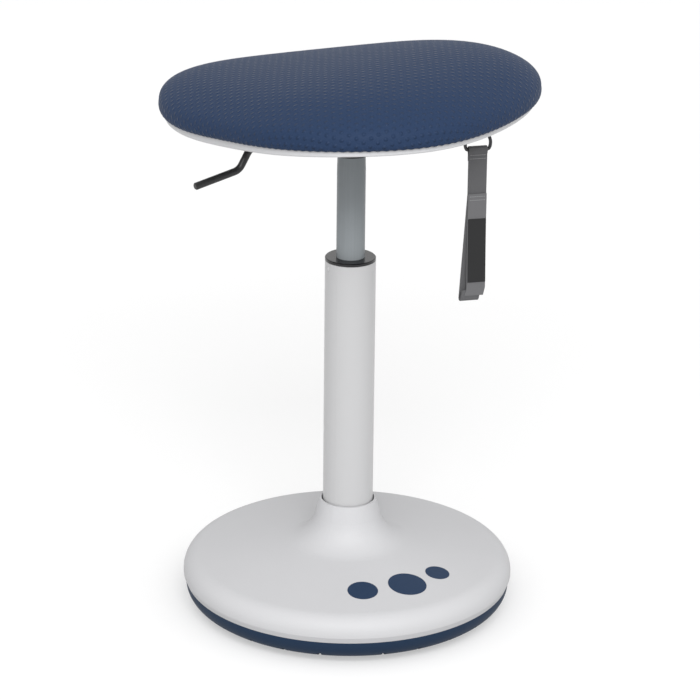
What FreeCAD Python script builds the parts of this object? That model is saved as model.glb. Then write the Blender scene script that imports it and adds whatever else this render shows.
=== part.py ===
import FreeCAD, Part
import Sketcher
import math
import os

from FreeCAD import Placement, Rotation, Vector

# Driving dimensions of a height-adjustable wobble stool, in millimetres and degrees.
# Heights are above the floor. The seat's nose points to -Y and the floor is z = 0.
DIMENSIONS = [
    # base: rubber sole, white cover, iron weight
    ("seam_radius", 162.7),
    ("seam_height", 27.0),
    ("sole_flat_radius", 80.0),
    ("sole_bow_radius", 310.0),
    ("sole_corner_radius", 150.5),
    ("sole_corner_height", 7.8),
    ("sole_corner_round", 17.0),
    ("sole_floor", 8.0),
    ("sole_wall", 5.0),
    ("tread_count", 24),
    ("tread_first_angle", 11.5),
    ("tread_pitch_angle", 13.4),
    ("tread_inner_radius", 96.0),
    ("tread_width", 3.6),
    ("tread_depth", 3.0),
    ("cover_radius", 165.3),
    ("cover_waist_height", 33.0),
    ("cover_edge_height", 50.8),
    ("cover_edge_round", 18.0),
    ("flare_radius", 38.1),
    ("flare_height", 71.0),
    ("flare_round", 35.0),
    ("collar_radius", 28.7),
    ("collar_top", 111.3),
    ("collar_gap", 1.5),
    ("cover_wall", 3.0),
    ("cover_rib_count", 12),
    ("cover_rib_width", 2.0),
    ("cover_rib_drop", 9.0),
    ("base_screw_count", 6),
    ("base_screw_circle", 128.0),
    ("base_screw_radius", 2.0),
    ("base_screw_head_radius", 4.5),
    ("base_screw_head_height", 2.5),
    ("base_screw_length", 22.0),
    ("base_boss_radius", 5.5),
    ("weight_radius", 116.0),
    ("weight_height", 12.0),
    ("socket_wall", 6.0),
    ("socket_top", 84.0),
    ("gusset_count", 6),
    ("gusset_reach", 88.0),
    ("gusset_top", 70.0),
    ("gusset_width", 6.0),
    # column: outer tube, guide bush, bearing, gas spring
    ("tube_radius", 25.0),
    ("tube_wall", 2.0),
    ("tube_top", 363.6),
    ("tube_foot", 24.0),
    ("tube_foot_radius", 24.2),
    ("tube_floor", 3.0),
    ("tube_chamfer", 0.8),
    ("bush_flange", 3.0),
    ("bush_length", 80.0),
    ("bush_land", 22.0),
    ("bush_relief", 1.6),
    ("running_gap", 0.05),
    ("washer_radius", 14.0),
    ("washer_thickness", 1.5),
    ("bearing_ring_thickness", 4.0),
    ("neck_radius", 4.0),
    ("rod_radius", 5.0),
    ("rod_foot", 16.5),
    ("clip_radius", 8.0),
    ("clip_thickness", 1.2),
    ("clip_groove", 0.8),
    ("buffer_radius", 17.0),
    ("buffer_height", 12.0),
    ("piston_level", 258.0),
    ("piston_height", 10.0),
    ("piston_seal_half", 1.4),
    ("cylinder_radius", 14.0),
    ("cylinder_wall", 2.0),
    ("cylinder_foot", 147.0),
    ("cylinder_taper_start", 455.0),
    ("cylinder_top", 489.0),
    ("cylinder_top_radius", 13.2),
    ("rod_guide_height", 12.0),
    ("valve_height", 30.0),
    ("pin_radius", 3.0),
    ("pin_depth", 22.0),
    # mechanism under the seat
    ("socket_bottom", 471.2),
    ("hub_wall", 3.6),
    ("plate_top", 505.0),
    ("plate_thickness", 3.0),
    ("plate_half_width", 48.0),
    ("plate_corner", 12.0),
    ("plate_hole_spacing", 38.0),
    ("lever_window_width", 8.4),
    ("lever_window_height", 13.0),
    ("lever_turn", -25.0),
    ("lever_radius", 3.5),
    ("lever_level", 496.5),
    ("lever_inner_end", 6.0),
    ("lever_pivot_reach", 45.0),
    ("lever_bend_reach", 116.4),
    ("lever_knee_reach", 129.1),
    ("lever_knee_level", 476.5),
    ("lever_tip_reach", 178.3),
    ("lever_tip_level", 468.4),
    ("lever_bend_round", 12.0),
    ("lever_gap", 0.25),
    ("pivot_radius", 1.75),
    ("ear_gap", 0.4),
    ("ear_thickness", 3.0),
    ("ear_half_length", 6.5),
    ("ear_drop", 4.5),
    # seat: plan outline and the saddle that every seat piece follows
    ("seat_radius", 176.4),
    ("seat_length_wave", 10.8),
    ("seat_corner_wave", 14.5),
    ("saddle_height", 538.2),
    ("saddle_slope", 0.168),
    ("saddle_length_sag", 15.8),
    ("saddle_width_sag", 13.8),
    ("saddle_roll", 22.0),
    ("saddle_reference", 185.0),
    ("seam_drop", 9.7),
    ("pad_edge_rise", 14.5),
    ("pad_crown", 15.5),
    ("pad_top_round", 15.0),
    ("pad_bottom_round", 8.0),
    ("fabric_thickness", 1.2),
    ("shell_inset", 6.7),
    ("shell_wall", 2.6),
    ("shell_floor_drop", 21.5),
    ("shell_floor_rise", 6.0),
    ("shell_edge_round", 1.6),
    ("pan_gap", 0.4),
    ("shell_pad_margin", 4.0),
    ("shell_pad_rib", 3.0),
    ("shell_bore_gap", 2.5),
    ("bolt_radius", 3.0),
    ("bolt_head_radius", 5.5),
    ("bolt_head_height", 3.3),
    ("bolt_hole_gap", 0.3),
    ("nut_barrel_radius", 4.2),
    ("nut_flange_radius", 9.5),
    ("nut_flange_height", 1.4),
    ("nut_sink", 3.5),
    # carry strap with its ring and anchor
    ("strap_reach", 137.0),
    ("strap_turn", 46.0),
    ("ring_wire_radius", 1.6),
    ("ring_bar_half", 9.3),
    ("ring_corner_round", 2.4),
    ("ring_arc_radius", 12.4),
    ("ring_bar_level", 497.6),
    ("anchor_width", 6.0),
    ("anchor_thickness", 1.5),
    ("anchor_gap", 0.8),
    ("anchor_foot", 10.0),
    ("anchor_screw_radius", 1.5),
    ("anchor_screw_head_radius", 2.8),
    ("anchor_screw_head_height", 1.6),
    ("anchor_screw_length", 4.0),
    ("webbing_width", 18.6),
    ("webbing_thickness", 1.5),
    ("webbing_gap", 0.2),
    ("webbing_tail", 11.0),
    ("webbing_foot_level", 349.0),
        ("webbing_front_top", 454.5),
    ("label_width", 17.6),
    ("label_top", 430.0),
    ("label_bottom", 367.5),
    ("label_thickness", 0.5),
]


class Size:
    """A sheet value that keeps its formula, so that a sketch can be bound to it."""

    def __init__(self, value, formula):
        self.value = value
        self.formula = formula

    def __float__(self):
        return float(self.value)

    def __neg__(self):
        return joined(0, "-", self, -self.value)

    def __add__(self, other):
        return joined(self, "+", other, self.value + float(other))

    def __radd__(self, other):
        return joined(other, "+", self, float(other) + self.value)

    def __sub__(self, other):
        return joined(self, "-", other, self.value - float(other))

    def __rsub__(self, other):
        return joined(other, "-", self, float(other) - self.value)

    def __mul__(self, other):
        return joined(self, "*", other, self.value * float(other))

    def __rmul__(self, other):
        return joined(other, "*", self, float(other) * self.value)

    def __truediv__(self, other):
        return joined(self, "/", other, self.value / float(other))


def joined(left, sign, right, value):
    sides = [side.formula if isinstance(side, Size) else repr(side) for side in (left, right)]
    return Size(value, f"({sides[0]} {sign} {sides[1]})")


doc = FreeCAD.newDocument("wobble_stool")
sheet = doc.addObject("Spreadsheet::Sheet", "Sizes")
for row, (alias, number) in enumerate(DIMENSIONS, start=1):
    sheet.set(f"A{row}", alias)
    sheet.set(f"B{row}", str(number))
    sheet.setAlias(f"B{row}", alias)
doc.recompute()


class SheetSizes:
    """Reads the sheet: s.tube_radius is the sheet's tube_radius with its formula."""

    def __getattr__(self, alias):
        return Size(float(sheet.get(alias)), f"Sizes.{alias}")


s = SheetSizes()
nodes = []


def add_node(thing, label):
    thing.Label = label
    nodes.append(thing)
    return thing


def origin_plane(body, role):
    return next(item for item in body.Origin.OriginFeatures if item.Role == role)


def new_body(label):
    return add_node(doc.addObject("PartDesign::Body", f"body_{label}"), label)


def new_sketch(body, name, role="XZ_Plane"):
    sketch = body.newObject("Sketcher::SketchObject", name)
    sketch.AttachmentSupport = [(origin_plane(body, role), "")]
    sketch.MapMode = "FlatFace"
    return sketch


def pin_corner(sketch, edge, corner):
    """Binds the start of an edge to its two coordinates, given as sizes or as plain zero."""
    for kind, axis, coordinate in (("DistanceX", -2, corner[0]), ("DistanceY", -1, corner[1])):
        if not isinstance(coordinate, Size):
            sketch.addConstraint(Sketcher.Constraint("PointOnObject", edge, 1, axis))
            continue
        rule = Sketcher.Constraint(kind, -1, 1, edge, 1, float(coordinate))
        index = sketch.addConstraint(rule)
        sketch.setExpression(f"Constraints[{index}]", coordinate.formula)


def draw_outline(sketch, corners):
    """Closed outline through corners (x, y) of sizes. A third entry is an arc's radius to the next corner."""
    points = [Vector(float(corner[0]), float(corner[1]), 0) for corner in corners]
    count = len(points)
    for index, corner in enumerate(corners):
        start, end = points[index], points[(index + 1) % count]
        if len(corner) == 2:
            sketch.addGeometry(Part.LineSegment(start, end), False)
            continue
        half = (end - start) * 0.5
        radius = abs(float(corner[2]))
        side = math.copysign(1.0, float(corner[2]))
        bulge = radius - math.sqrt(radius ** 2 - half.Length ** 2)
        normal = Vector(half.y, -half.x, 0).normalize() * (side * bulge)
        sketch.addGeometry(Part.Arc(start, start + half + normal, end), False)
    for index, corner in enumerate(corners):
        following = (index + 1) % count
        end_mark, start_mark = 2, 1
        if len(corner) == 3 and float(corner[2]) < 0:
            end_mark = 1
        if len(corners[following]) == 3 and float(corners[following][2]) < 0:
            start_mark = 2
        sketch.addConstraint(Sketcher.Constraint("Coincident", index, end_mark, following, start_mark))
    for index, corner in enumerate(corners):
        pin_corner(sketch, index, corner)
        if len(corner) == 3:
            rule = sketch.addConstraint(Sketcher.Constraint("Radius", index, abs(float(corner[2]))))
            sketch.setExpression(f"Constraints[{rule}]", corner[2].formula)


def turned_body(label, corners):
    """A piece turned about the column axis from its half section, corners as (radius, height)."""
    body = new_body(label)
    sketch = new_sketch(body, f"{label}_section")
    draw_outline(sketch, corners)
    turning = body.newObject("PartDesign::Revolution", f"{label}_turning")
    turning.Profile = sketch
    turning.ReferenceAxis = (sketch, ["V_Axis"])
    turning.Angle = 360
    sketch.Visibility = False
    doc.recompute()
    return body


def ring_corners(inner, outer, bottom, top):
    return [(inner, bottom), (outer, bottom), (outer, top), (inner, top)]


def round_edges(body, name, radius, chosen, kind="Fillet"):
    """Fillets or chamfers the edges of a body's tip that a test picks out."""
    tip = body.Tip
    names = [f"Edge{i}" for i, edge in enumerate(tip.Shape.Edges, start=1) if chosen(edge)]
    feature = body.newObject(f"PartDesign::{kind}", name)
    feature.Base = (tip, names)
    feature.setExpression("Radius" if kind == "Fillet" else "Size", radius.formula)
    doc.recompute()
    return feature


def circle_at(radius, height):
    """A test for a full circular edge about the column axis."""
    def chosen(edge):
        curve = edge.Curve
        if not isinstance(curve, Part.Circle):
            return False
        near = abs(curve.Radius - float(radius)) < 0.05 and abs(curve.Center.z - float(height)) < 0.05
        return near and math.hypot(curve.Center.x, curve.Center.y) < 0.01
    return chosen


def polar(radius, angle, height=0.0):
    turn = math.radians(float(angle))
    return Vector(float(radius) * math.cos(turn), float(radius) * math.sin(turn), float(height))


def turned_copies(shape, angles):
    copies = []
    for angle in angles:
        copy = shape.copy()
        copy.rotate(Vector(0, 0, 0), Vector(0, 0, 1), angle)
        copies.append(copy)
    return copies


def even_angles(count, first=0.0):
    return [first + 360.0 / int(float(count)) * index for index in range(int(float(count)))]


def upright_cylinder(radius, bottom, top, place=Vector(0, 0, 0)):
    foot = Vector(place.x, place.y, float(bottom))
    return Part.makeCylinder(float(radius), float(top) - float(bottom), foot)


def free_shape(label, shape, place=Placement()):
    """A piece whose form comes from surfaces or patterns that no single primitive gives."""
    piece = doc.addObject("Part::Feature", f"piece_{label}")
    piece.Shape = shape
    piece.Placement = place
    return add_node(piece, label)


def radial_plate(corners, width):
    """An upright plate in the XZ plane through the axis, centred on it."""
    points = [Vector(float(x), -float(width) / 2, float(z)) for x, z in corners]
    return Part.Face(Part.makePolygon(points + points[:1])).extrude(Vector(0, float(width), 0))


def round_corner(before, corner, after, radius):
    """Points where a bend of that radius leaves and meets two straight runs, and the bend's middle."""
    back = (before - corner).normalize()
    ahead = (after - corner).normalize()
    half = back.getAngle(ahead) / 2
    trim = radius / math.tan(half)
    centre = corner + (back + ahead).normalize() * (radius / math.sin(half))
    middle = centre + (corner - centre).normalize() * radius
    return corner + back * trim, middle, corner + ahead * trim


def turned_section(corners):
    """A solid turned about the column axis. A corner's third entry is the radius that rounds it off."""
    points = [Vector(float(corner[0]), 0, float(corner[1])) for corner in corners]
    runs = []
    for index, corner in enumerate(corners):
        before, after = points[index - 1], points[(index + 1) % len(points)]
        if len(corner) == 3:
            runs.append(round_corner(before, points[index], after, float(corner[2])))
        else:
            runs.append((points[index],))
    edges = []
    for run, following in zip(runs, runs[1:] + runs[:1]):
        if len(run) == 3:
            edges.append(Part.Arc(*run).toShape())
        edges.append(Part.LineSegment(run[-1], following[0]).toShape())
    return Part.Face(Part.Wire(edges)).revolve(Vector(0, 0, 0), Vector(0, 0, 1), 360)


# Base

SOLE_STEP = 0.5


def sole_surface(radius):
    """Height of the sole's bowed underside at a radius inside its corner."""
    reach = max(0.0, radius - float(s.sole_flat_radius))
    bow = float(s.sole_bow_radius)
    return bow - math.sqrt(bow ** 2 - reach ** 2)


def deck_height(radius):
    """Height of the cover's sloping deck, between the flare and the rounded edge."""
    fall = (s.flare_height - s.cover_edge_height) / (s.cover_radius - s.flare_radius)
    return s.flare_height - fall * (radius - s.flare_radius)


def base_screw_places():
    return [polar(s.base_screw_circle, angle) for angle in even_angles(s.base_screw_count, 30.0)]


def make_sole():
    """Rubber pan with a flat middle and a bowed rim, on which the stool rocks."""
    inner_radius = s.seam_radius - s.sole_wall
    inner_corner = s.sole_corner_radius - s.sole_wall * 3
    bowl = turned_body("base_sole_blank", [
        (0, 0),
        (s.sole_flat_radius, 0, s.sole_bow_radius),
        (s.sole_corner_radius, s.sole_corner_height, s.sole_corner_round),
        (s.seam_radius, s.seam_height),
        (inner_radius, s.seam_height),
        (inner_radius - s.sole_wall, s.seam_height / 2 + 2.0),
        (inner_corner, s.sole_floor),
        (0, s.sole_floor),
    ])
    nodes.remove(bowl)
    depth = float(s.tread_depth)
    outer = float(s.seam_radius) + 4.0
    corner_radius = float(s.sole_corner_radius)
    corner_height = float(s.sole_corner_height)
    inner = float(s.tread_inner_radius)
    groove = radial_plate([
        (inner, -1.0),
        (outer, -1.0),
        (outer, corner_height + depth * 2.5),
        (corner_radius, corner_height + depth),
        (corner_radius - 20.0, sole_surface(corner_radius - 20.0) + depth),
        (inner, sole_surface(inner) + depth * 0.6),
    ], s.tread_width)
    per_quarter = int(float(s.tread_count)) // 4
    first, pitch = float(s.tread_first_angle), float(s.tread_pitch_angle)
    angles = [90.0 * quarter + first + pitch * step for quarter in range(4) for step in range(per_quarter)]
    tools = turned_copies(groove, [angle + BASE_TURN for angle in angles])
    hole_top = float(s.sole_floor) + SOLE_STEP
    for place in base_screw_places():
        tools.append(upright_cylinder(s.base_screw_radius + s.running_gap, -1.0, hole_top, place))
        tools.append(upright_cylinder(s.base_screw_head_radius + 0.5, -1.0,
                                      base_screw_seat(), place))
    return free_shape("base_sole", bowl.Shape.cut(Part.makeCompound(tools)))


def base_screw_seat():
    """Level at which a base screw's head bears on the sole."""
    return sole_surface(float(s.base_screw_circle)) + float(s.base_screw_head_height) + 0.4


def make_base_cover():
    """White moulded cover: collar, flare, sloping deck and rounded edge, with ribs and screw bosses inside."""
    bore = s.tube_radius + s.collar_gap
    wall = s.cover_wall
    skin = turned_section([
        (s.seam_radius + 0.3, s.seam_height),
        (s.cover_radius, s.cover_waist_height),
        (s.cover_radius, s.cover_edge_height, s.cover_edge_round),
        (s.flare_radius, s.flare_height, s.flare_round),
        (s.collar_radius, s.collar_top),
        (bore, s.collar_top),
        (bore, s.collar_top - wall * 1.4),
        (s.flare_radius - wall * 0.81, s.flare_height - wall * 0.887, s.flare_round + wall),
        (s.cover_radius - wall, s.cover_edge_height - wall * 0.93, s.cover_edge_round - wall),
        (s.cover_radius - wall, s.cover_waist_height + 1.0),
        (s.seam_radius + 0.3 - wall, s.seam_height),
    ])
    top, bottom = 0.6 * float(wall), float(s.cover_rib_drop + wall)
    rib_start = float(s.flare_radius) + float(s.flare_round) * 0.7
    rib_end = float(s.cover_radius) - float(s.cover_edge_round)
    heights = [float(deck_height(radius)) for radius in (rib_start, rib_end)]
    rib = radial_plate([
        (rib_start, heights[0] - top),
        (rib_end, heights[1] - top),
        (rib_end, heights[1] - bottom),
        (rib_start, heights[0] - bottom),
    ], s.cover_rib_width)
    extras = turned_copies(rib, even_angles(s.cover_rib_count, 15.0))
    boss_top = float(deck_height(s.base_screw_circle)) - top
    for place in base_screw_places():
        extras.append(upright_cylinder(s.base_boss_radius, s.sole_floor, boss_top, place))
    cover = skin.fuse(extras)
    pilot_top = base_screw_seat() + float(s.base_screw_length)
    pilots = [upright_cylinder(s.base_screw_radius, float(s.sole_floor) - 1.0, pilot_top + 1.0, place)
              for place in base_screw_places()]
    free_shape("base_cover", cover.cut(pilots))


def make_base_screws():
    seat = base_screw_seat()
    screws = []
    for place in base_screw_places():
        head = upright_cylinder(s.base_screw_head_radius, seat - float(s.base_screw_head_height), seat, place)
        shank = upright_cylinder(s.base_screw_radius, seat, seat + float(s.base_screw_length), place)
        screws.append(head.fuse(shank).removeSplitter())
    free_shape("base_screws", Part.makeCompound(screws))


def make_base_weight():
    """Cast iron disc whose ribbed socket holds the tapered foot of the outer tube."""
    socket_outer = s.tube_radius + s.socket_wall
    top = s.sole_floor + s.weight_height
    body = turned_body("base_weight", [
        (s.tube_foot_radius, s.sole_floor),
        (s.weight_radius, s.sole_floor),
        (s.weight_radius, top),
        (socket_outer, top),
        (socket_outer, s.socket_top),
        (s.tube_radius, s.socket_top),
        (s.tube_foot_radius, s.tube_foot),
    ])
    sketch = new_sketch(body, "gusset_outline")
    draw_outline(sketch, [
        (s.tube_radius + s.socket_wall / 2, top - 1.0),
        (s.gusset_reach, top - 1.0),
        (s.gusset_reach, top + 4.0),
        (socket_outer + 2.0, s.gusset_top),
        (s.tube_radius + s.socket_wall / 2, s.gusset_top),
    ])
    gusset = body.newObject("PartDesign::Pad", "gusset")
    gusset.Profile = sketch
    gusset.Midplane = True
    gusset.setExpression("Length", s.gusset_width.formula)
    doc.recompute()
    pattern = body.newObject("PartDesign::PolarPattern", "gussets")
    pattern.Originals = [gusset]
    pattern.Axis = (sketch, ["V_Axis"])
    pattern.Angle = 360
    pattern.setExpression("Occurrences", s.gusset_count.formula)
    body.Tip = pattern
    doc.recompute()
    round_edges(body, "weight_rim", Size(2.0, "2"), circle_at(s.weight_radius, top), "Chamfer")


# Column

def make_outer_tube():
    inner = s.tube_radius - s.tube_wall
    body = turned_body("outer_tube", [
        (s.rod_radius + 1.0, s.tube_foot),
        (s.tube_foot_radius, s.tube_foot),
        (s.tube_radius, s.socket_top),
        (s.tube_radius, s.tube_top),
        (inner, s.tube_top),
        (inner, s.tube_foot + s.tube_floor),
        (s.rod_radius + 1.0, s.tube_foot + s.tube_floor),
    ])
    round_edges(body, "tube_lip", s.tube_chamfer, circle_at(s.tube_radius, s.tube_top), "Chamfer")


def make_guide_bush():
    bore = s.cylinder_radius + s.running_gap
    sleeve = s.tube_radius - s.tube_wall
    bottom = s.tube_top - s.bush_length
    relief = bore + s.bush_relief
    body = turned_body("guide_bush", [
        (bore, bottom),
        (sleeve, bottom),
        (sleeve, s.tube_top),
        (s.tube_radius, s.tube_top),
        (s.tube_radius, s.tube_top + s.bush_flange),
        (bore, s.tube_top + s.bush_flange),
        (bore, s.tube_top - s.bush_land),
        (relief, s.tube_top - s.bush_land - 2.0),
        (relief, bottom + s.bush_land + 2.0),
        (bore, bottom + s.bush_land),
    ])
    round_edges(body, "flange_rim", s.tube_chamfer,
                circle_at(s.tube_radius, s.tube_top + s.bush_flange), "Chamfer")


def bearing_levels():
    """Bottoms of the lower washer, the bearing ring and the upper washer, and the rod's shoulder."""
    lower = s.tube_foot + s.tube_floor
    ring = lower + s.washer_thickness
    upper = ring + s.bearing_ring_thickness + s.running_gap
    return lower, ring, upper, upper + s.washer_thickness


def make_bearing():
    """Slippery ring between two steel washers, on which the rod turns, and the rubber buffer above."""
    lower, ring, upper, shoulder = bearing_levels()
    bore = s.neck_radius + s.running_gap
    turned_body("bearing_washer_lower", ring_corners(bore, s.washer_radius, lower, ring))
    turned_body("bearing_ring", ring_corners(bore, s.washer_radius - 1.0, ring, upper - s.running_gap))
    turned_body("bearing_washer_upper", ring_corners(s.neck_radius, s.washer_radius, upper, shoulder))
    turned_body("bump_buffer", ring_corners(s.rod_radius, s.buffer_radius, shoulder,
                                            shoulder + s.buffer_height))


def make_piston_rod():
    """Steel rod, stepped down through the bearing, with a clip groove below the tube's floor."""
    shoulder = bearing_levels()[3]
    clip_bottom = clip_level()
    groove_radius = s.neck_radius - s.clip_groove
    turned_body("piston_rod", [
        (0, s.rod_foot),
        (s.neck_radius, s.rod_foot),
        (s.neck_radius, clip_bottom),
        (groove_radius, clip_bottom),
        (groove_radius, clip_bottom + s.clip_thickness),
        (s.neck_radius, clip_bottom + s.clip_thickness),
        (s.neck_radius, shoulder),
        (s.rod_radius, shoulder),
        (s.rod_radius, s.piston_level + s.piston_height),
        (0, s.piston_level + s.piston_height),
    ])


def clip_level():
    return s.tube_foot - s.clip_thickness - s.washer_thickness - 0.6


def make_rod_clip():
    """Open spring clip in the rod's groove, and the washer above it."""
    bottom = clip_level()
    blank = turned_body("rod_clip_blank", ring_corners(
        s.neck_radius - s.clip_groove, s.clip_radius, bottom, bottom + s.clip_thickness))
    nodes.remove(blank)
    gap = float(s.neck_radius)
    mouth = Part.makeBox(float(s.clip_radius) * 2, gap, float(s.clip_thickness) * 3,
                         Vector(0, -gap / 2, float(bottom) - float(s.clip_thickness)))
    free_shape("rod_clip", blank.Shape.cut(mouth))
    washer_bottom = bottom + s.clip_thickness
    turned_body("clip_washer", ring_corners(s.neck_radius, s.clip_radius + 1.0, washer_bottom,
                                            washer_bottom + s.washer_thickness))


def make_piston():
    bore = s.cylinder_radius - s.cylinder_wall
    face = bore - s.running_gap
    middle = s.piston_level + s.piston_height / 2
    groove = s.piston_seal_half
    turned_body("piston", [
        (s.rod_radius, s.piston_level),
        (face, s.piston_level),
        (face, middle - groove),
        (face - groove * 2, middle - groove),
        (face - groove * 2, middle + groove),
        (face, middle + groove),
        (face, s.piston_level + s.piston_height),
        (s.rod_radius, s.piston_level + s.piston_height),
    ])
    turned_body("piston_seal", ring_corners(face - groove * 2, face, middle - groove, middle + groove))


def make_gas_cylinder():
    bore = s.cylinder_radius - s.cylinder_wall
    body = turned_body("gas_cylinder", [
        (bore, s.cylinder_foot),
        (s.cylinder_radius, s.cylinder_foot),
        (s.cylinder_radius, s.cylinder_taper_start),
        (s.cylinder_top_radius, s.cylinder_top),
        (bore - 1.0, s.cylinder_top),
        (bore - 1.0, s.cylinder_top - s.valve_height),
        (bore, s.cylinder_top - s.valve_height),
    ])
    round_edges(body, "cylinder_foot_edge", s.tube_chamfer,
                circle_at(s.cylinder_radius, s.cylinder_foot), "Chamfer")
    turned_body("rod_guide", ring_corners(s.rod_radius + s.running_gap, bore, s.cylinder_foot,
                                          s.cylinder_foot + s.rod_guide_height))
    pin_bore = s.pin_radius + s.running_gap
    floor = s.cylinder_top - s.pin_depth - 4.0
    turned_body("valve_body", [
        (0, s.cylinder_top - s.valve_height),
        (bore - 1.0, s.cylinder_top - s.valve_height),
        (bore - 1.0, s.cylinder_top),
        (pin_bore, s.cylinder_top),
        (pin_bore, floor),
        (0, floor),
    ])


def make_release_pin():
    top = s.lever_level - s.lever_radius - s.lever_gap
    body = turned_body("release_pin", [
        (0, s.cylinder_top - s.pin_depth),
        (s.pin_radius, s.cylinder_top - s.pin_depth),
        (s.pin_radius, top),
        (0, top),
    ])
    round_edges(body, "pin_crown", s.tube_chamfer, circle_at(s.pin_radius, top), "Chamfer")


# Mechanism

def lever_axes():
    """Unit vectors along the lever's plan direction and across it."""
    return polar(1.0, s.lever_turn), polar(1.0, float(s.lever_turn) + 90.0)


def lever_point(reach, level):
    return polar(reach, s.lever_turn, level)


def turned_box(reach_from, reach_to, half_width, bottom, top):
    """A box along the lever's direction."""
    length = float(reach_to) - float(reach_from)
    box = Part.makeBox(length, 2 * float(half_width), float(top) - float(bottom),
                       Vector(float(reach_from), -float(half_width), float(bottom)))
    box.rotate(Vector(0, 0, 0), Vector(0, 0, 1), float(s.lever_turn))
    return box


def plate_bottom():
    return s.plate_top - s.plate_thickness


def bolt_places():
    spacing = float(s.plate_hole_spacing)
    return [Vector(x * spacing, y * spacing, 0) for x in (-1, 1) for y in (-1, 1)]


def rounded_square(half_width, corner, bottom, top):
    half = float(half_width)
    box = Part.makeBox(2 * half, 2 * half, float(top) - float(bottom), Vector(-half, -half, float(bottom)))
    upright = [edge for edge in box.Edges if abs(edge.tangentAt(edge.FirstParameter).z) > 0.99]
    return box.makeFillet(float(corner), upright)


def make_mechanism_plate():
    """Pressed steel plate with four bolt holes, and two ears that hold the lever's pivot."""
    plate = rounded_square(s.plate_half_width, s.plate_corner, plate_bottom(), s.plate_top)
    near = float(s.lever_radius + s.ear_gap)
    far = near + float(s.ear_thickness)
    ears = []
    for low, high in ((near, far), (-far, -near)):
        ear = Part.makeBox(2 * float(s.ear_half_length), high - low,
                           float(plate_bottom()) - float(s.lever_level) + float(s.ear_drop) + 1.0,
                           Vector(float(s.lever_pivot_reach) - float(s.ear_half_length), low,
                                  float(s.lever_level) - float(s.ear_drop)))
        low_edges = [edge for edge in ear.Edges
                     if edge.BoundBox.ZMax < float(s.lever_level) - float(s.ear_drop) + 0.01
                     and abs(edge.tangentAt(edge.FirstParameter).y) > 0.99]
        ear = ear.makeFillet(float(s.ear_drop) * 0.8, low_edges)
        ear.rotate(Vector(0, 0, 0), Vector(0, 0, 1), float(s.lever_turn))
        ears.append(ear)
    holes = [upright_cylinder(s.bolt_radius + s.bolt_hole_gap, plate_bottom() - 1.0, s.plate_top + 1.0, place)
             for place in bolt_places()]
    along, across = lever_axes()
    pivot = lever_point(s.lever_pivot_reach, s.lever_level)
    reach = far + 2.0
    holes.append(Part.makeCylinder(float(s.pivot_radius), 2 * reach, pivot - across * reach, across))
    bore = s.cylinder_top_radius + s.hub_wall
    holes.append(upright_cylinder(bore - s.hub_wall, plate_bottom() - 1.0, s.plate_top + 1.0))
    free_shape("mechanism_plate", plate.fuse(ears).cut(holes).removeSplitter())


def make_taper_hub():
    """Steel socket welded under the plate; its taper seats on the gas cylinder."""
    height = s.cylinder_top - s.cylinder_taper_start
    share = (s.socket_bottom - s.cylinder_taper_start) / height
    radius_low = s.cylinder_radius - (s.cylinder_radius - s.cylinder_top_radius) * share
    outer = s.cylinder_radius + s.hub_wall
    blank = turned_body("taper_hub_blank", [
        (radius_low, s.socket_bottom),
        (outer, s.socket_bottom),
        (outer, plate_bottom()),
        (s.cylinder_top_radius, plate_bottom()),
        (s.cylinder_top_radius, s.cylinder_top),
    ])
    nodes.remove(blank)
    half = s.lever_window_height / 2
    window = turned_box(0.0, float(outer) + 2.0, s.lever_window_width / 2,
                        s.lever_level - half, s.lever_level + half)
    free_shape("taper_hub", blank.Shape.cut(window))


def bent_path(points, radius):
    """A wire of straight runs joined by bends of one radius."""
    edges = []
    start = points[0]
    for before, corner, after in zip(points, points[1:], points[2:]):
        first, middle, last = round_corner(before, corner, after, radius)
        edges.append(Part.LineSegment(start, first).toShape())
        edges.append(Part.Arc(first, middle, last).toShape())
        start = last
    edges.append(Part.LineSegment(start, points[-1]).toShape())
    return Part.Wire(edges)


def piped(path, radius):
    start = path.Edges[0].Vertexes[0].Point
    tangent = path.Edges[0].tangentAt(path.Edges[0].FirstParameter)
    section = Part.Wire(Part.makeCircle(float(radius), start, tangent))
    return path.makePipeShell([section], True, False)


def make_lever():
    """Bent release lever: level run over the valve pin, a steep drop and a hand end."""
    along, across = lever_axes()
    points = [
        lever_point(-float(s.lever_inner_end), s.lever_level),
        lever_point(s.lever_bend_reach, s.lever_level),
        lever_point(s.lever_knee_reach, s.lever_knee_level),
        lever_point(s.lever_tip_reach, s.lever_tip_level),
    ]
    rod = piped(bent_path(points, float(s.lever_bend_round)), s.lever_radius)
    tip_edges = [edge for edge in rod.Edges if isinstance(edge.Curve, Part.Circle)
                 and (edge.Curve.Center - points[-1]).Length < 0.01]
    rod = rod.makeChamfer(float(s.lever_radius) * 0.25, tip_edges)
    pivot = lever_point(s.lever_pivot_reach, s.lever_level)
    reach = float(s.lever_radius) + 1.0
    hole = Part.makeCylinder(float(s.pivot_radius + s.running_gap), 2 * reach, pivot - across * reach, across)
    free_shape("release_lever", rod.cut(hole))
    length = float(s.lever_radius + s.ear_gap + s.ear_thickness)
    free_shape("lever_pivot", Part.makeCylinder(float(s.pivot_radius), 2 * length,
                                                pivot - across * length, across))


# Seat

OUTLINE_POINTS = 36
TALL = 120.0
FIELD_REACH = 260.0


def plan_radius(angle):
    """The seat's plan radius in a direction, counted from its nose at -Y."""
    turn = math.radians(angle + 90.0)
    waves = float(s.seat_length_wave) * math.cos(2 * turn) + float(s.seat_corner_wave) * math.cos(3 * turn)
    return float(s.seat_radius) + waves


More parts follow.
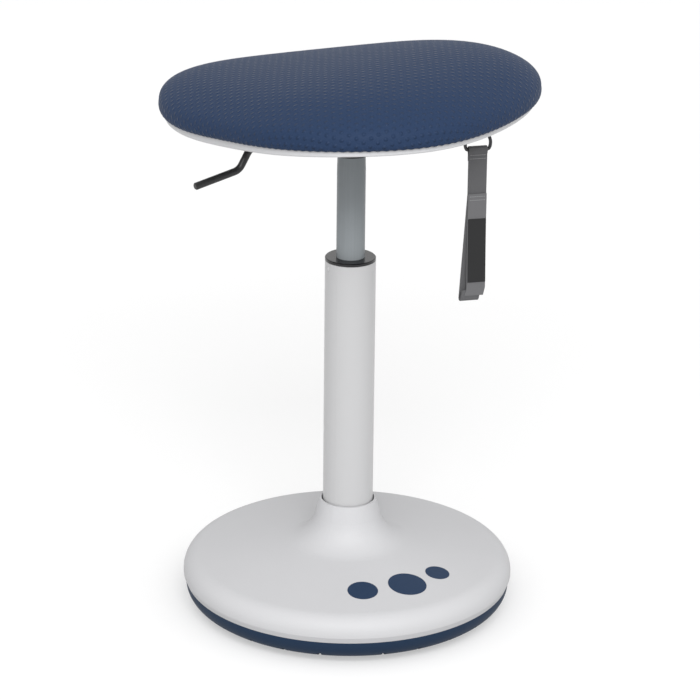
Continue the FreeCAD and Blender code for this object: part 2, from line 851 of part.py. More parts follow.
def seat_prism(inset):
    """A tall upright block with the seat's plan outline, moved inwards."""
    angles = [360.0 / OUTLINE_POINTS * index for index in range(OUTLINE_POINTS)]
    bottom = float(s.saddle_height) - TALL
    points = [polar(plan_radius(angle) - float(inset), angle, bottom) for angle in angles]
    curve = Part.BSplineCurve()
    curve.interpolate(Points=points, PeriodicFlag=True)
    return Part.Face(Part.Wire(curve.toShape())).extrude(Vector(0, 0, 2 * TALL))


def field_height(x, y, offset, crown=0.0, span=1.0):
    """Height of the saddle at a place, raised by an offset and domed by a crown over a span."""
    unit = float(s.saddle_reference)
    length, width = -y / unit, x / unit
    base = float(s.saddle_height) - float(s.saddle_slope) * length * unit
    sag = float(s.saddle_length_sag) * length ** 2 + float(s.saddle_width_sag) * width ** 2
    dome = crown * (x * x + y * y) / span ** 2
    return base - sag + float(s.saddle_roll) * length ** 3 + float(offset) - dome


def space_above(offset, crown=0.0, span=1.0):
    """Everything above the saddle surface: an exact cubic patch, swept upwards.

    The height is a polynomial without mixed terms, so each pole is a sum of a share in x
    and a share in y, worked out from the powers' own control values.
    """
    unit, reach = float(s.saddle_reference), FIELD_REACH
    dome = crown / span ** 2
    across = -float(s.saddle_width_sag) / unit ** 2 - dome
    along = -float(s.saddle_length_sag) / unit ** 2 - dome
    slope = float(s.saddle_slope)
    roll = -float(s.saddle_roll) / unit ** 3
    level = float(s.saddle_height) + float(offset)
    x_share = [across * reach ** 2 * value for value in (1, -1, 1)]
    y_share = [slope * reach * linear + along * reach ** 2 * square + roll * reach ** 3 * cube
               for linear, square, cube in zip((-1, -1 / 3, 1 / 3, 1), (1, -1 / 3, -1 / 3, 1), (-1, 1, -1, 1))]
    patch = Part.BezierSurface()
    patch.increase(2, 3)
    for i, x in enumerate((-reach, 0, reach)):
        for j, y in enumerate((-reach, -reach / 3, reach / 3, reach)):
            patch.setPole(i + 1, j + 1, Vector(x, y, level + x_share[i] + y_share[j]))
    return patch.toShape().extrude(Vector(0, 0, 3 * TALL))


def edges_near(shape, offset, crown=0.0, span=1.0, inset=0.0):
    """Outline edges of a seat piece that lie on a saddle surface."""
    found = []
    for edge in shape.Edges:
        places = [edge.valueAt(edge.FirstParameter + (edge.LastParameter - edge.FirstParameter) * share)
                  for share in (0.1, 0.5, 0.9)]
        on_field = all(abs(p.z - field_height(p.x, p.y, offset, crown, span)) < 0.05 for p in places)
        rim = all(abs(math.hypot(p.x, p.y) - plan_radius(math.degrees(math.atan2(p.y, p.x)))
                      + float(inset)) < 0.5 for p in places)
        if on_field and rim:
            found.append(edge)
    return found


def cushion_form(inset):
    """Upholstered form: flat under the rim, bulging sides and a crowned top, moved inwards by an inset."""
    span = float(s.seat_radius)
    crown = float(s.pad_crown)
    top = float(s.pad_edge_rise) + crown - float(inset)
    block = seat_prism(inset).common(space_above(-s.seam_drop)).cut(space_above(top, crown, span))
    rounded = block.makeFillet(float(s.pad_top_round) - float(inset),
                               edges_near(block, top, crown, span, inset))
    return rounded.makeFillet(float(s.pad_bottom_round) - float(inset),
                              edges_near(rounded, -s.seam_drop, 0.0, 1.0, inset))


def make_cushion():
    foam = cushion_form(float(s.fabric_thickness))
    free_shape("seat_foam", foam)
    free_shape("seat_cover", cushion_form(0.0).cut(foam))


def shell_floor(extra=0.0):
    """The saddle surface of the shell's underside, or of a level above it."""
    rise = float(s.shell_floor_rise)
    return -float(s.shell_floor_drop) + extra, -rise, float(s.seat_radius)


def nut_floor(place):
    """Flat seat of a threaded insert, sunk into the seat pan's top."""
    return field_height(place.x, place.y, -float(s.seam_drop)) - float(s.nut_sink)


def make_seat_pan():
    """Moulded pan under the foam, thinning to its edge, with the four threaded inserts' pockets."""
    inset = s.shell_inset + s.shell_wall + s.pan_gap
    floor = shell_floor(float(s.shell_wall))
    pan = seat_prism(inset).common(space_above(*floor)).cut(space_above(-s.seam_drop))
    tools = []
    for place in bolt_places():
        top = float(s.saddle_height) + TALL
        tools.append(upright_cylinder(s.nut_flange_radius, nut_floor(place), top, place))
        tools.append(upright_cylinder(s.nut_barrel_radius, s.plate_top, top, place))
    free_shape("seat_pan", pan.cut(tools))


def make_seat_shell():
    """White shell: rim band, dished underside and a ribbed pad that the steel plate is bolted to."""
    floor = shell_floor()
    blank = seat_prism(s.shell_inset).common(space_above(*floor)).cut(space_above(-s.seam_drop))
    blank = blank.makeFillet(float(s.shell_edge_round), edges_near(blank, *floor, s.shell_inset))
    hollow = seat_prism(s.shell_inset + s.shell_wall).common(space_above(*shell_floor(float(s.shell_wall))))
    half = float(s.plate_half_width + s.shell_pad_margin)
    pad = rounded_square(half, s.plate_corner + s.shell_pad_margin, s.plate_top, s.saddle_height)
    pad = pad.cut(space_above(*shell_floor(float(s.shell_wall) * 0.5)))
    skin_top = space_above(*shell_floor(float(s.shell_wall)))
    rib = float(s.shell_pad_rib)
    bore = float(s.cylinder_radius + s.hub_wall + s.shell_bore_gap)
    top = float(s.saddle_height)
    pad_floor = float(s.plate_top) + float(s.shell_wall)
    boss = float(s.bolt_head_radius) + 1.5
    cores = Part.makeBox(2 * (half - rib), 2 * (half - rib), top - pad_floor,
                         Vector(rib - half, rib - half, pad_floor))
    keep = [upright_cylinder(boss, pad_floor, top, place) for place in bolt_places()]
    keep.append(upright_cylinder(bore + rib, pad_floor, top))
    for turn in (0.0, 90.0):
        plate = Part.makeBox(2 * half, rib, top - pad_floor, Vector(-half, -rib / 2, pad_floor))
        plate.rotate(Vector(0, 0, 0), Vector(0, 0, 1), turn)
        keep.append(plate)
    cores = cores.cut(keep).common(skin_below(floor))
    shell = blank.cut(hollow).fuse(pad.cut(skin_top)).cut(cores)
    holes = [upright_cylinder(s.bolt_radius + s.bolt_hole_gap, plate_bottom(), top, place)
             for place in bolt_places()]
    holes.append(upright_cylinder(bore, plate_bottom(), s.lever_level + 20.0))
    level, reach = anchor_level(), anchor_half_length() + 1.0
    half_width = float(s.anchor_width) / 2 + 2.0
    anchor_pad = placed(Part.makeBox(2 * half_width, 2 * reach, 20.0, Vector(-half_width, -reach, level)))
    screw_top = level - float(s.anchor_thickness) + float(s.anchor_screw_length)
    holes.extend(placed(upright_cylinder(s.anchor_screw_radius, level - 1.0, screw_top, place))
                 for place in anchor_screw_places())
    shell = shell.fuse(anchor_pad.cut(skin_top))
    free_shape("seat_shell", shell.cut(holes).removeSplitter())


def skin_below(floor):
    """Block under the shell's skin, wide enough for the pad."""
    half = float(s.plate_half_width) * 2
    block = Part.makeBox(2 * half, 2 * half, TALL, Vector(-half, -half, float(s.plate_top) - TALL / 2))
    return block.cut(space_above(*floor))


def make_seat_bolts():
    bolts, inserts = [], []
    for place in bolt_places():
        floor = nut_floor(place)
        head = upright_cylinder(s.bolt_head_radius, plate_bottom() - s.bolt_head_height, plate_bottom(), place)
        head = head.makeChamfer(0.8, [edge for edge in head.Edges if isinstance(edge.Curve, Part.Circle)
                                      and edge.Curve.Center.z < float(plate_bottom()) - 1.0])
        shank = upright_cylinder(s.bolt_radius, plate_bottom(), floor, place)
        bolts.append(head.fuse(shank).removeSplitter())
        flange = upright_cylinder(s.nut_flange_radius, floor, floor + float(s.nut_flange_height), place)
        barrel_foot = max(floor - float(s.nut_sink) * 1.2,
                          field_height(place.x, place.y, shell_floor()[0] + float(s.shell_wall)) + 0.5)
        barrel = upright_cylinder(s.nut_barrel_radius, barrel_foot, floor, place)
        bore = upright_cylinder(s.bolt_radius, barrel_foot - 1.0, floor, place)
        inserts.append(flange.fuse(barrel).cut(bore).removeSplitter())
    free_shape("seat_bolts", Part.makeCompound(bolts))
    free_shape("threaded_inserts", Part.makeCompound(inserts))


# Carry strap: its pieces are drawn in a plane of their own, then turned and moved to the seat's back edge.

def strap_place():
    return Placement(Vector(0, float(s.strap_reach), 0), Rotation(Vector(0, 0, 1), -float(s.strap_turn)))


def placed(shape):
    copy = shape.copy()
    copy.Placement = strap_place().multiply(copy.Placement)
    return copy


def ring_levels():
    """Centre height of the ring's big arc, and the height of its top."""
    drop = math.sqrt((float(s.ring_arc_radius) - float(s.ring_corner_round)) ** 2 - float(s.ring_bar_half) ** 2)
    centre = float(s.ring_bar_level) + float(s.ring_corner_round) + drop
    return centre, centre + float(s.ring_arc_radius)


def make_strap_ring():
    """D-shaped wire ring: a straight bar for the webbing, tight corners and one big arc."""
    centre_level, top_level = ring_levels()
    bar, corner, arc = float(s.ring_bar_half), float(s.ring_corner_round), float(s.ring_arc_radius)
    level = float(s.ring_bar_level)
    centre = Vector(0, 0, centre_level)
    corner_centre = Vector(bar, 0, level + corner)
    outward = (corner_centre - centre).normalize()
    join = centre + outward * arc
    start_angle, end_angle = -90.0, math.degrees(math.atan2(outward.z, outward.x))
    middle_angle = math.radians((start_angle + end_angle) / 2)
    middle = corner_centre + Vector(math.cos(middle_angle), 0, math.sin(middle_angle)) * corner

    def mirrored(point):
        return Vector(-point.x, point.y, point.z)

    foot = Vector(bar, 0, level)
    top = Vector(0, 0, top_level)
    path = Part.Wire([
        Part.Arc(top, centre + Vector(arc, 0, 0), join).toShape(),
        Part.Arc(join, middle, foot).toShape(),
        Part.LineSegment(foot, mirrored(foot)).toShape(),
        Part.Arc(mirrored(foot), mirrored(middle), mirrored(join)).toShape(),
        Part.Arc(mirrored(join), centre - Vector(arc, 0, 0), top).toShape(),
    ])
    section = Part.Wire(Part.makeCircle(float(s.ring_wire_radius), top, Vector(1, 0, 0)))
    free_shape("strap_ring", path.makePipeShell([section], True, False), strap_place())


def anchor_level():
    """Level of the pad under the shell that the anchor's feet bear on."""
    reach, half = float(s.strap_reach), anchor_half_length() / math.sqrt(2.0)
    return min(field_height(x, reach + y, *shell_floor()) for x in (-half, half) for y in (-half, half))


def anchor_half_length():
    return float(s.ring_wire_radius + s.anchor_gap + s.anchor_thickness + s.anchor_foot)


def arch_side(radius, level, top, width):
    """Side faces of an arch: a half circle round the ring's wire with straight legs up to a level."""
    edges = [
        Part.Arc(Vector(0, radius, level), Vector(0, 0, level - radius), Vector(0, -radius, level)).toShape(),
        Part.makeLine(Vector(0, -radius, level), Vector(0, -radius, top)),
        Part.makeLine(Vector(0, -radius, top), Vector(0, radius, top)),
        Part.makeLine(Vector(0, radius, top), Vector(0, radius, level)),
    ]
    block = Part.Face(Part.Wire(edges)).extrude(Vector(width, 0, 0))
    block.translate(Vector(-width / 2, 0, 0))
    return block


def make_strap_anchor():
    """Bent strip under the shell: two screwed feet and a loop that carries the ring's arc."""
    level = ring_levels()[1]
    seat = anchor_level()
    inner = float(s.ring_wire_radius + s.anchor_gap)
    thickness = float(s.anchor_thickness)
    half_length = anchor_half_length()
    width = float(s.anchor_width)
    feet = Part.makeBox(width, 2 * half_length, thickness, Vector(-width / 2, -half_length, seat - thickness))
    strip = feet.fuse(arch_side(inner + thickness, level, seat, width))
    strip = strip.cut(arch_side(inner, level, seat + 1.0, width + 2.0))
    screw_places = anchor_screw_places()
    holes = [upright_cylinder(s.anchor_screw_radius, seat - 2 * thickness, seat + thickness, place)
             for place in screw_places]
    free_shape("strap_anchor", strip.cut(holes).removeSplitter(), strap_place())
    head_top = seat - thickness
    screws = []
    for place in screw_places:
        head = upright_cylinder(s.anchor_screw_head_radius, head_top - float(s.anchor_screw_head_height),
                                head_top, place)
        shank = upright_cylinder(s.anchor_screw_radius, head_top, head_top + float(s.anchor_screw_length), place)
        screws.append(head.fuse(shank).removeSplitter())
    free_shape("anchor_screws", Part.makeCompound(screws), strap_place())


def anchor_screw_places():
    reach = anchor_half_length() - float(s.anchor_foot) * 0.45
    return [Vector(0, side * reach, 0) for side in (-1, 1)]


def make_strap_webbing():
    """Doubled webbing: short tail behind the bar, over it, down to a fold and up again in front."""
    bar = float(s.ring_bar_level)
    half = float(s.webbing_thickness) / 2
    reach = float(s.ring_wire_radius + s.webbing_gap) + half
    lap = half + float(s.webbing_gap) / 2
    bend = reach - 0.05
    front = lap + 2 * half + float(s.webbing_gap)
    fold = lap + 2 * bend + 0.1
    foot = float(s.webbing_foot_level) + half
    top = float(s.webbing_front_top)
    corners = [
        (-lap, bar - float(s.webbing_tail)),
        (-lap, bar - 5.0),
        (-reach, bar - 1.0),
        (-reach, bar + reach),
        (reach, bar + reach),
        (reach, bar - 1.0),
        (lap, bar - 5.0),
        (lap, foot),
        (fold, foot),
        (fold, foot + 12.0),
        (front, top - 26.0),
        (front, top),
    ]
    path = bent_path([Vector(0, y, z) for y, z in corners], bend)
    width = float(s.webbing_width)
    start_y, start_z = corners[0]
    section = Part.makePolygon([
        Vector(-width / 2, start_y - half, start_z),
        Vector(width / 2, start_y - half, start_z),
        Vector(width / 2, start_y + half, start_z),
        Vector(-width / 2, start_y + half, start_z),
        Vector(-width / 2, start_y - half, start_z),
    ])
    free_shape("strap_webbing", path.makePipeShell([section], True, False), strap_place())
    lean = (fold - front) / (foot + 12.0 - (top - 26.0))
    face = half + front + 0.05
    low, high = float(s.label_bottom), float(s.label_top)
    width = float(s.label_width)
    thickness = float(s.label_thickness)
    side = [Vector(-width / 2, face + lean * (level - top + 26.0) + extra, level)
            for level, extra in ((low, 0.0), (high, 0.0), (high, thickness), (low, thickness))]
    label = Part.Face(Part.makePolygon(side + side[:1])).extrude(Vector(width, 0, 0))
    free_shape("strap_label", label, strap_place())


doc.recompute()
BASE_TURN = 32.0


def main():
    make_sole()
    make_base_cover()
    make_base_screws()
    make_base_weight()
    make_outer_tube()
    make_guide_bush()
    make_bearing()
    make_piston_rod()
    make_rod_clip()
    make_piston()
    make_gas_cylinder()
    make_release_pin()
    make_mechanism_plate()
    make_taper_hub()
    make_lever()
    make_cushion()
    make_seat_pan()
    make_seat_shell()
    make_seat_bolts()
    make_strap_ring()
    make_strap_anchor()
    make_strap_webbing()


main()
doc.recompute()
for thing in doc.Objects:
    bad = [state for state in thing.State if state in ("Invalid", "Error")]
    if bad:
        raise RuntimeError(f"{thing.Label}: {bad}")
for node in nodes:
    if node.Shape.isNull() or not node.Shape.isValid():
        raise RuntimeError(f"{node.Label} has no valid shape")
os.makedirs("parts", exist_ok=True)
for node in nodes:
    node.Shape.exportStep(f"parts/{node.Label}.step")
    print(node.Label, len(node.Shape.Solids), round(node.Shape.Volume))
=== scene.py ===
"""Wobble stool: materials, soft goods, small details, stage, light and camera on the CAD frame."""
import math

import bpy
import numpy as np
from mathutils import Matrix, Vector
from mathutils.bvhtree import BVHTree


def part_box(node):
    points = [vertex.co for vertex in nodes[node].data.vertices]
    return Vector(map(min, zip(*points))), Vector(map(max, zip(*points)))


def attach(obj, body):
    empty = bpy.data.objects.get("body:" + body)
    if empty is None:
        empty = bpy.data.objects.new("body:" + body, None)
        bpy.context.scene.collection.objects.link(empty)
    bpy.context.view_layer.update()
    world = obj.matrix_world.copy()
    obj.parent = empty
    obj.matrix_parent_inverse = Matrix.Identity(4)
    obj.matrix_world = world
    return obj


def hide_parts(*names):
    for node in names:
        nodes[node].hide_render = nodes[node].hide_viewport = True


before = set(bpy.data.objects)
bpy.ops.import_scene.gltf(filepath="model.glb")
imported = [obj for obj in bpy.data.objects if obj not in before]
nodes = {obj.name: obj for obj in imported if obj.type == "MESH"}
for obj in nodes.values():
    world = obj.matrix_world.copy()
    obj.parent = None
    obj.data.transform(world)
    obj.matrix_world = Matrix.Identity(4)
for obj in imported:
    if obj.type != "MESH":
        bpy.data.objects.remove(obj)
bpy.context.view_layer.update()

# Lengths are in metres and named angles in degrees. Sizes follow the CAD part.

# Seat: plan outline, saddle surface, and the cushion's dome and seam.
SEAT_RADIUS, LENGTH_WAVE, CORNER_WAVE = 0.1764, 0.0108, 0.0145
SADDLE = dict(height=0.5382, slope=0.168, length_sag=0.0158, width_sag=0.0138, roll=0.0220,
              unit=0.185)
DOME_HEIGHT, DOME_POWER = 0.0262, 2.9
SEAM_DROP, SEAM_INSET = 0.0097, 0.0069
SEAM_TUCK, SEAM_TUCK_RISE = 0.006, 0.0004
SEAM_PUCKERS, PUCKER_DEPTH = 144, 0.00022

# Cushion's mesh: points round it, rings over the dome and down the side, and the first ring.
CUSHION_COLUMNS, DOME_RINGS, SIDE_RINGS = 864, 44, 12
FIRST_RING = 0.02
# Its swelling: the cloth's settings, the share of the seam's drop below which it is held, the
# limit on its travel, how the travel is evened, and the rings over which it fades on the side.
VOXEL, PRESSURE, SIM_FRAMES = 0.005, 4.0, 20
HELD_SHARE = 0.6
SWELL_LIMIT = 0.0022
EVEN_PASSES, EVEN_REACH = 30, 8
FADE_RINGS = 6.0

# Knit: pitch of its dots along and across, their radius and height, the turn of their rows, and
# the scale and height of the loops between them.
DOT_PITCH, DOT_RADIUS, DOT_HEIGHT = (0.0080, 0.0071), 0.0026, 0.0011
KNIT_TURN = 30.0
LOOP_SCALE, LOOP_SHARE = 900.0, 0.30
# Webbing: spacing of its ribs across, and along as a share of that.
RIB_PITCH, RIB_SHARE = 0.0011, 0.8

# Strap: place and turn, the ring's bar, the webbing's section and the ends of its layers.
STRAP_REACH, STRAP_TURN = 0.137, -46.0
BAR_LEVEL, BAR_RADIUS = 0.4976, 0.0016
WEBBING_WIDTH, WEBBING_THICKNESS, WEBBING_GAP = 0.0186, 0.0015, 0.0002
WEBBING_EDGE, WEBBING_FULLNESS = 0.0004, 0.94
WEBBING_TAIL, WEBBING_FOOT, WEBBING_TOP = 0.0110, 0.3490, 0.4545
# Below the bar: where the wrap round it ends and where the two layers meet.
WRAP_END, PINCH = 0.001, 0.005
# Sideways skew of the foot, and the shares of it at the ends of the fold and the front layer.
WEBBING_SKEW, FOLD_SKEW, FLAP_SKEW = 0.0065, 0.7, 0.35
# Fold at the foot: how far it sags, its leg in front, and the play of its bends.
FOLD_SAG, FOLD_LEG, BEND_PLAY, FOLD_PLAY = 0.0005, 0.010, 0.00005, 0.0001
# Front layer: its start and knee above the foot, its lean below the top, lift, shift and bends.
FLAP_START, FLAP_KNEE, FLAP_LEAN = 0.0045, 0.012, 0.026
FLAP_LIFT, FLAP_SHIFT, FLAP_BEND = 0.0006, 0.0003, 0.01
# Bends: points in each, and the share of a leg that one may take.
BEND_STEPS, BEND_SHARE = 6, 0.49

# Stitches: length, margin at the webbing's edges, levels of the seams below the bar, drops of
# those below the front layer's top, and a stitch's half-widths at shares of its length.
STITCH_LENGTH, STITCH_MARGIN = 0.0022, 0.0015
BAR_SEAM_LEVELS, TOP_SEAM_DROPS = (0.4925, 0.4890), (0.0025, 0.0060)
STITCH_SECTIONS = ((-0.36, 0.0001), (-0.2, 0.0003), (0.2, 0.0003), (0.36, 0.0001))
STITCH_SIDES = 4

# Deck of the base: radius and height at the flare's foot, and its fall towards the rim.
DECK_FOOT_RADIUS, DECK_FOOT_HEIGHT, DECK_FALL = 0.0381, 0.0710, 0.1588
# Printed dots: azimuth, distance from the middle and radius of each; their rings and thickness.
DECK_DOTS = ((38.0, 0.112, 0.015), (62.0, 0.112, 0.019), (83.0, 0.112, 0.012))
DECK_DOT_SIDES, DECK_DOT_RINGS = 64, (0.02, 0.3, 0.6, 0.9, 1.0)
PRINT_RISE, PRINT_DEPTH = 0.0002, 0.0006

# Nib on the tube: azimuth, drop below the tube's top, height to width, and its half-widths with
# their distance out from the wall.
TUBE_RADIUS, TUBE_TOP = 0.025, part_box("outer_tube")[1][2]
NIB_AZIMUTH, NIB_DROP, NIB_STRETCH, NIB_SIDES = -30.0, 0.0066, 1.6, 16
NIB_SECTIONS = ((0.0015, -0.0004), (0.0015, 0.0003), (0.0011, 0.0007), (0.0004, 0.0008))

# Camera, fitted to the photograph: the side it looks from, its place, tilt and roll, and its
# focal length and the picture's width in pixels.
PHOTO_SIDE = 120.0
CAMERA_PLACE, CAMERA_TILT, CAMERA_ROLL = (2.5338, 1.4635, 1.3710), 69.3555, 0.6354
FOCAL_PIXELS, PICTURE_PIXELS, SENSOR_WIDTH = 3168.0, 700.0, 36.0
CLIP_END = 50.0

# Floor, lights and world. Places are given from the photograph's side, as row_place takes them.
FLOOR_HALF, FLOOR_GLOW = 8.0, 0.42
STOOL_MIDDLE = (0, 0, 0.3)
KEY_PLACE, KEY_ENERGY, KEY_ANGLE = (0.15, -2.4, 2.3), 1.15, 30.0
STRIP_PLACE, STRIP_ENERGY, STRIP_SIZE = (0.1, -2.3, 2.1), 24.0, (3.2, 0.4)
WORLD_FRONT, WORLD_BACK, WORLD_TOWARDS = 1.12, 0.32, (0.12, -0.9, 0.15)
PURE_WHITE = (1.0, 1.0, 1.0, 1.0)


def plan_radius(angle):
    """Radius of the seat's rounded three-cornered outline at this azimuth in radians."""
    turn = angle + math.pi / 2
    return SEAT_RADIUS + LENGTH_WAVE * np.cos(2 * turn) + CORNER_WAVE * np.cos(3 * turn)


def saddle(x, y):
    """Height of the seat's saddle surface, on which the cushion lies."""
    length, width = -y / SADDLE["unit"], x / SADDLE["unit"]
    sag = SADDLE["length_sag"] * length ** 2 + SADDLE["width_sag"] * width ** 2
    return SADDLE["height"] + SADDLE["slope"] * y - sag + SADDLE["roll"] * length ** 3


# Materials

def linear(hex_colour):
    """Blender's linear colour for this screen colour."""
    values = [int(hex_colour[i:i + 2], 16) / 255 for i in (0, 2, 4)]
    return tuple(v / 12.92 if v <= 0.04045 else ((v + 0.055) / 1.055) ** 2.4
                 for v in values) + (1.0,)


class NodeTree:
    """Adds nodes to a material's or the world's tree."""

    def __init__(self, tree):
        self.tree = tree

    def add(self, kind, **values):
        node = self.tree.nodes.new(kind)
        for name, value in values.items():
            setattr(node, name, value)
        return node

    def link(self, source, target):
        self.tree.links.new(source, target)

    def math(self, operation, left, right=None, clamp=False):
        node = self.add("ShaderNodeMath", operation=operation, use_clamp=clamp)
        for index, value in enumerate((left, right)):
            if value is None:
                continue
            if isinstance(value, (int, float)):
                node.inputs[index].default_value = value
            else:
                self.link(value, node.inputs[index])
        return node.outputs[0]

    def span(self, factor, **limits):
        """The factor mapped from one span to another, with limits such as to_min and to_max."""
        span = self.add("ShaderNodeMapRange")
        for name, value in limits.items():
            span.inputs[name.replace("_", " ").title()].default_value = value
        self.link(factor, span.inputs["Value"])
        return span.outputs[0]

    def seen(self):
        """One where the camera or a reflection looks, and nought for light thrown back."""
        rays = self.add("ShaderNodeLightPath").outputs
        return self.math("ADD", rays["Is Camera Ray"], rays["Is Glossy Ray"], clamp=True)


class Shader(NodeTree):
    """One node material with a principled surface."""

    def __init__(self, name, colour, rough, metallic=0.0, specular=0.5, sheen=0.0):
        self.material = bpy.data.materials.new(name)
        self.material.use_nodes = True
        super().__init__(self.material.node_tree)
        self.surface = self.tree.nodes["Principled BSDF"]
        self.colour = linear(colour)
        for socket, value in (("Base Color", self.colour), ("Roughness", rough),
                              ("Metallic", metallic), ("Specular IOR Level", specular),
                              ("Sheen Weight", sheen)):
            self.surface.inputs[socket].default_value = value

    def noise(self, scale, detail=2.0, stretch=None):
        """Noise over the piece's own coordinates, scaled by axis where a stretch is given."""
        place = self.add("ShaderNodeTexCoord").outputs["Object"]
        if stretch:
            mapping = self.add("ShaderNodeMapping")
            mapping.inputs["Scale"].default_value = stretch
            self.link(place, mapping.inputs["Vector"])
            place = mapping.outputs["Vector"]
        noise = self.add("ShaderNodeTexNoise")
        noise.inputs["Scale"].default_value = scale
        noise.inputs["Detail"].default_value = detail
        self.link(place, noise.inputs["Vector"])
        return noise.outputs["Fac"]

    def cloth_map(self):
        """The cloth's own map in metres, as a place and as its two parts."""
        place = self.add("ShaderNodeUVMap", uv_map="cloth").outputs["UV"]
        parts = self.add("ShaderNodeSeparateXYZ")
        self.link(place, parts.inputs[0])
        return place, parts.outputs[0], parts.outputs[1]

    def bump(self, height, distance):
        bump = self.add("ShaderNodeBump")
        bump.inputs["Distance"].default_value = distance
        bump.inputs["Strength"].default_value = 1.0
        self.link(height, bump.inputs["Height"])
        self.link(bump.outputs["Normal"], self.surface.inputs["Normal"])

    def tint(self, factor, dark, light):
        """Base colour between two multiples of the material's own colour."""
        mix = self.add("ShaderNodeMix", data_type="RGBA")
        for index, share in ((6, dark), (7, light)):
            mix.inputs[index].default_value = tuple(c * share for c in self.colour[:3]) + (1.0,)
        self.link(factor, mix.inputs[0])
        self.link(mix.outputs[2], self.surface.inputs["Base Color"])

    def rough(self, factor, start, end):
        """Roughness from start to end as the factor goes from nought to one."""
        self.link(self.span(factor, to_min=start, to_max=end), self.surface.inputs["Roughness"])


def moulded(name, colour, rough, grain, depth, specular=0.5):
    """Plastic, rubber, foam or iron with a fine moulded grain."""
    shader = Shader(name, colour, rough, specular=specular)
    shader.bump(shader.noise(grain, detail=3.0), depth)
    shader.tint(shader.noise(scale=9.0), dark=0.97, light=1.03)
    return shader.material


def painted(name, colour, rough, metallic=0.0):
    """Smooth paint or plating with faint cloudiness."""
    shader = Shader(name, colour, rough, metallic)
    shader.rough(shader.noise(scale=30.0, detail=4.0), start=rough * 0.9, end=rough * 1.1)
    return shader.material


def steel(name, colour, rough, metallic=0.9, specular=0.5):
    """Drawn steel: fine lines along the tube."""
    shader = Shader(name, colour, rough, metallic, specular)
    lines = shader.noise(scale=60.0, detail=5.0, stretch=(9.0, 9.0, 0.2))
    shader.rough(lines, start=rough * 0.8, end=rough * 1.25)
    shader.tint(lines, dark=0.93, light=1.07)
    return shader.material


def dotted_knit():
    """Knit fabric with staggered rows of small raised dots, laid out in the cushion's map."""
    shader = Shader("navy_knit", "263753", rough=0.7, specular=0.10)
    place, across, along = shader.cloth_map()
    pitch_u, pitch_v = DOT_PITCH
    u = shader.math("DIVIDE", across, pitch_u)
    v = shader.math("DIVIDE", along, pitch_v)
    odd_row = shader.math("MULTIPLY", shader.math("MODULO", shader.math("FLOOR", v), 2.0), 0.5)
    du = shader.math("SUBTRACT", shader.math("FRACT", shader.math("ADD", u, odd_row)), 0.5)
    dv = shader.math("SUBTRACT", shader.math("FRACT", v), 0.5)
    du = shader.math("MULTIPLY", du, pitch_u / DOT_RADIUS)
    dv = shader.math("MULTIPLY", dv, pitch_v / DOT_RADIUS)
    squared = shader.math("ADD", shader.math("MULTIPLY", du, du), shader.math("MULTIPLY", dv, dv))
    inside = shader.math("SUBTRACT", 1.0, squared, clamp=True)
    dot = shader.math("MULTIPLY", inside, inside)
    loops = shader.add("ShaderNodeTexNoise")
    loops.inputs["Scale"].default_value = LOOP_SCALE
    shader.link(place, loops.inputs["Vector"])
    height = shader.math("ADD", dot, shader.math("MULTIPLY", loops.outputs["Fac"], LOOP_SHARE))
    shader.bump(height, DOT_HEIGHT)
    # Painted highlight: the raised dots are painted a little lighter than the knit between them.
    shader.tint(dot, dark=0.99, light=1.03)
    shader.rough(dot, start=0.55, end=0.32)
    return shader.material


def woven(name, colour):
    """Webbing with fine ribs across and along."""
    shader = Shader(name, colour, rough=0.75, sheen=0.1)
    _, u, v = shader.cloth_map()
    across = shader.math("SINE", shader.math("MULTIPLY", u, 2 * math.pi / RIB_PITCH))
    along = shader.math("SINE", shader.math("MULTIPLY", v, 2 * math.pi / (RIB_PITCH * RIB_SHARE)))
    both = shader.math("MULTIPLY", across, along)
    weave = shader.math("ADD", shader.math("MULTIPLY", both, 0.5), 0.5)
    shader.bump(weave, distance=0.0002)
    shader.tint(weave, dark=0.88, light=1.10)
    return shader.material


def plain_weave(name, colour):
    """Closely woven cloth or thread."""
    shader = Shader(name, colour, rough=0.75, sheen=0.05)
    shader.bump(shader.noise(scale=1500.0), distance=0.0002)
    shader.tint(shader.noise(scale=60.0), dark=0.95, light=1.05)
    return shader.material


WHITE_SHELL = moulded("white_shell", "c8c8ca", rough=0.42, grain=900.0, depth=0.00004)
WHITE_BASE = moulded("white_base", "c0c0c2", rough=0.5, grain=620.0, depth=0.00014, specular=0.25)
NAVY_RUBBER = moulded("navy_rubber", "11273f", rough=0.6, grain=700.0, depth=0.00008,
                      specular=0.25)
NAVY_PRINT = moulded("navy_print", "172e4a", rough=0.5, grain=620.0, depth=0.00010, specular=0.2)
BLACK_PLASTIC = moulded("black_plastic", "0a0a0c", rough=0.25, grain=800.0, depth=0.00003)
BLACK_RUBBER = moulded("black_rubber", "101010", rough=0.7, grain=700.0, depth=0.00005)
CAST_IRON = moulded("cast_iron", "2b2b2d", rough=0.6, grain=300.0, depth=0.0003)
FOAM = moulded("foam", "d8cfae", rough=0.9, grain=500.0, depth=0.0004)
WHITE_TUBE = painted("white_tube", "bababb", rough=0.32)
BLACK_PAINT = painted("black_paint", "0b0b0d", rough=0.33)
DARK_WIRE = painted("dark_wire", "3e3e40", rough=0.35, metallic=0.8)
COLUMN_GREY = steel("column_grey", "8a8f92", rough=0.36, metallic=0.0, specular=0.1)
BRIGHT_STEEL = steel("bright_steel", "b4b6b8", rough=0.22)
ZINC = steel("zinc", "9d9fa1", rough=0.35)
KNIT = dotted_knit()
WEBBING = woven("grey_webbing", "555557")
# Painted light: a lighter copy of the same grey webbing, for the front layer where light falls on
# it.
LIT_WEBBING_PAINTED = woven("webbing_painted_lit", "636365")
LABEL = plain_weave("dark_label", "0e0e10")
THREAD = plain_weave("grey_thread", "9a9a9c")

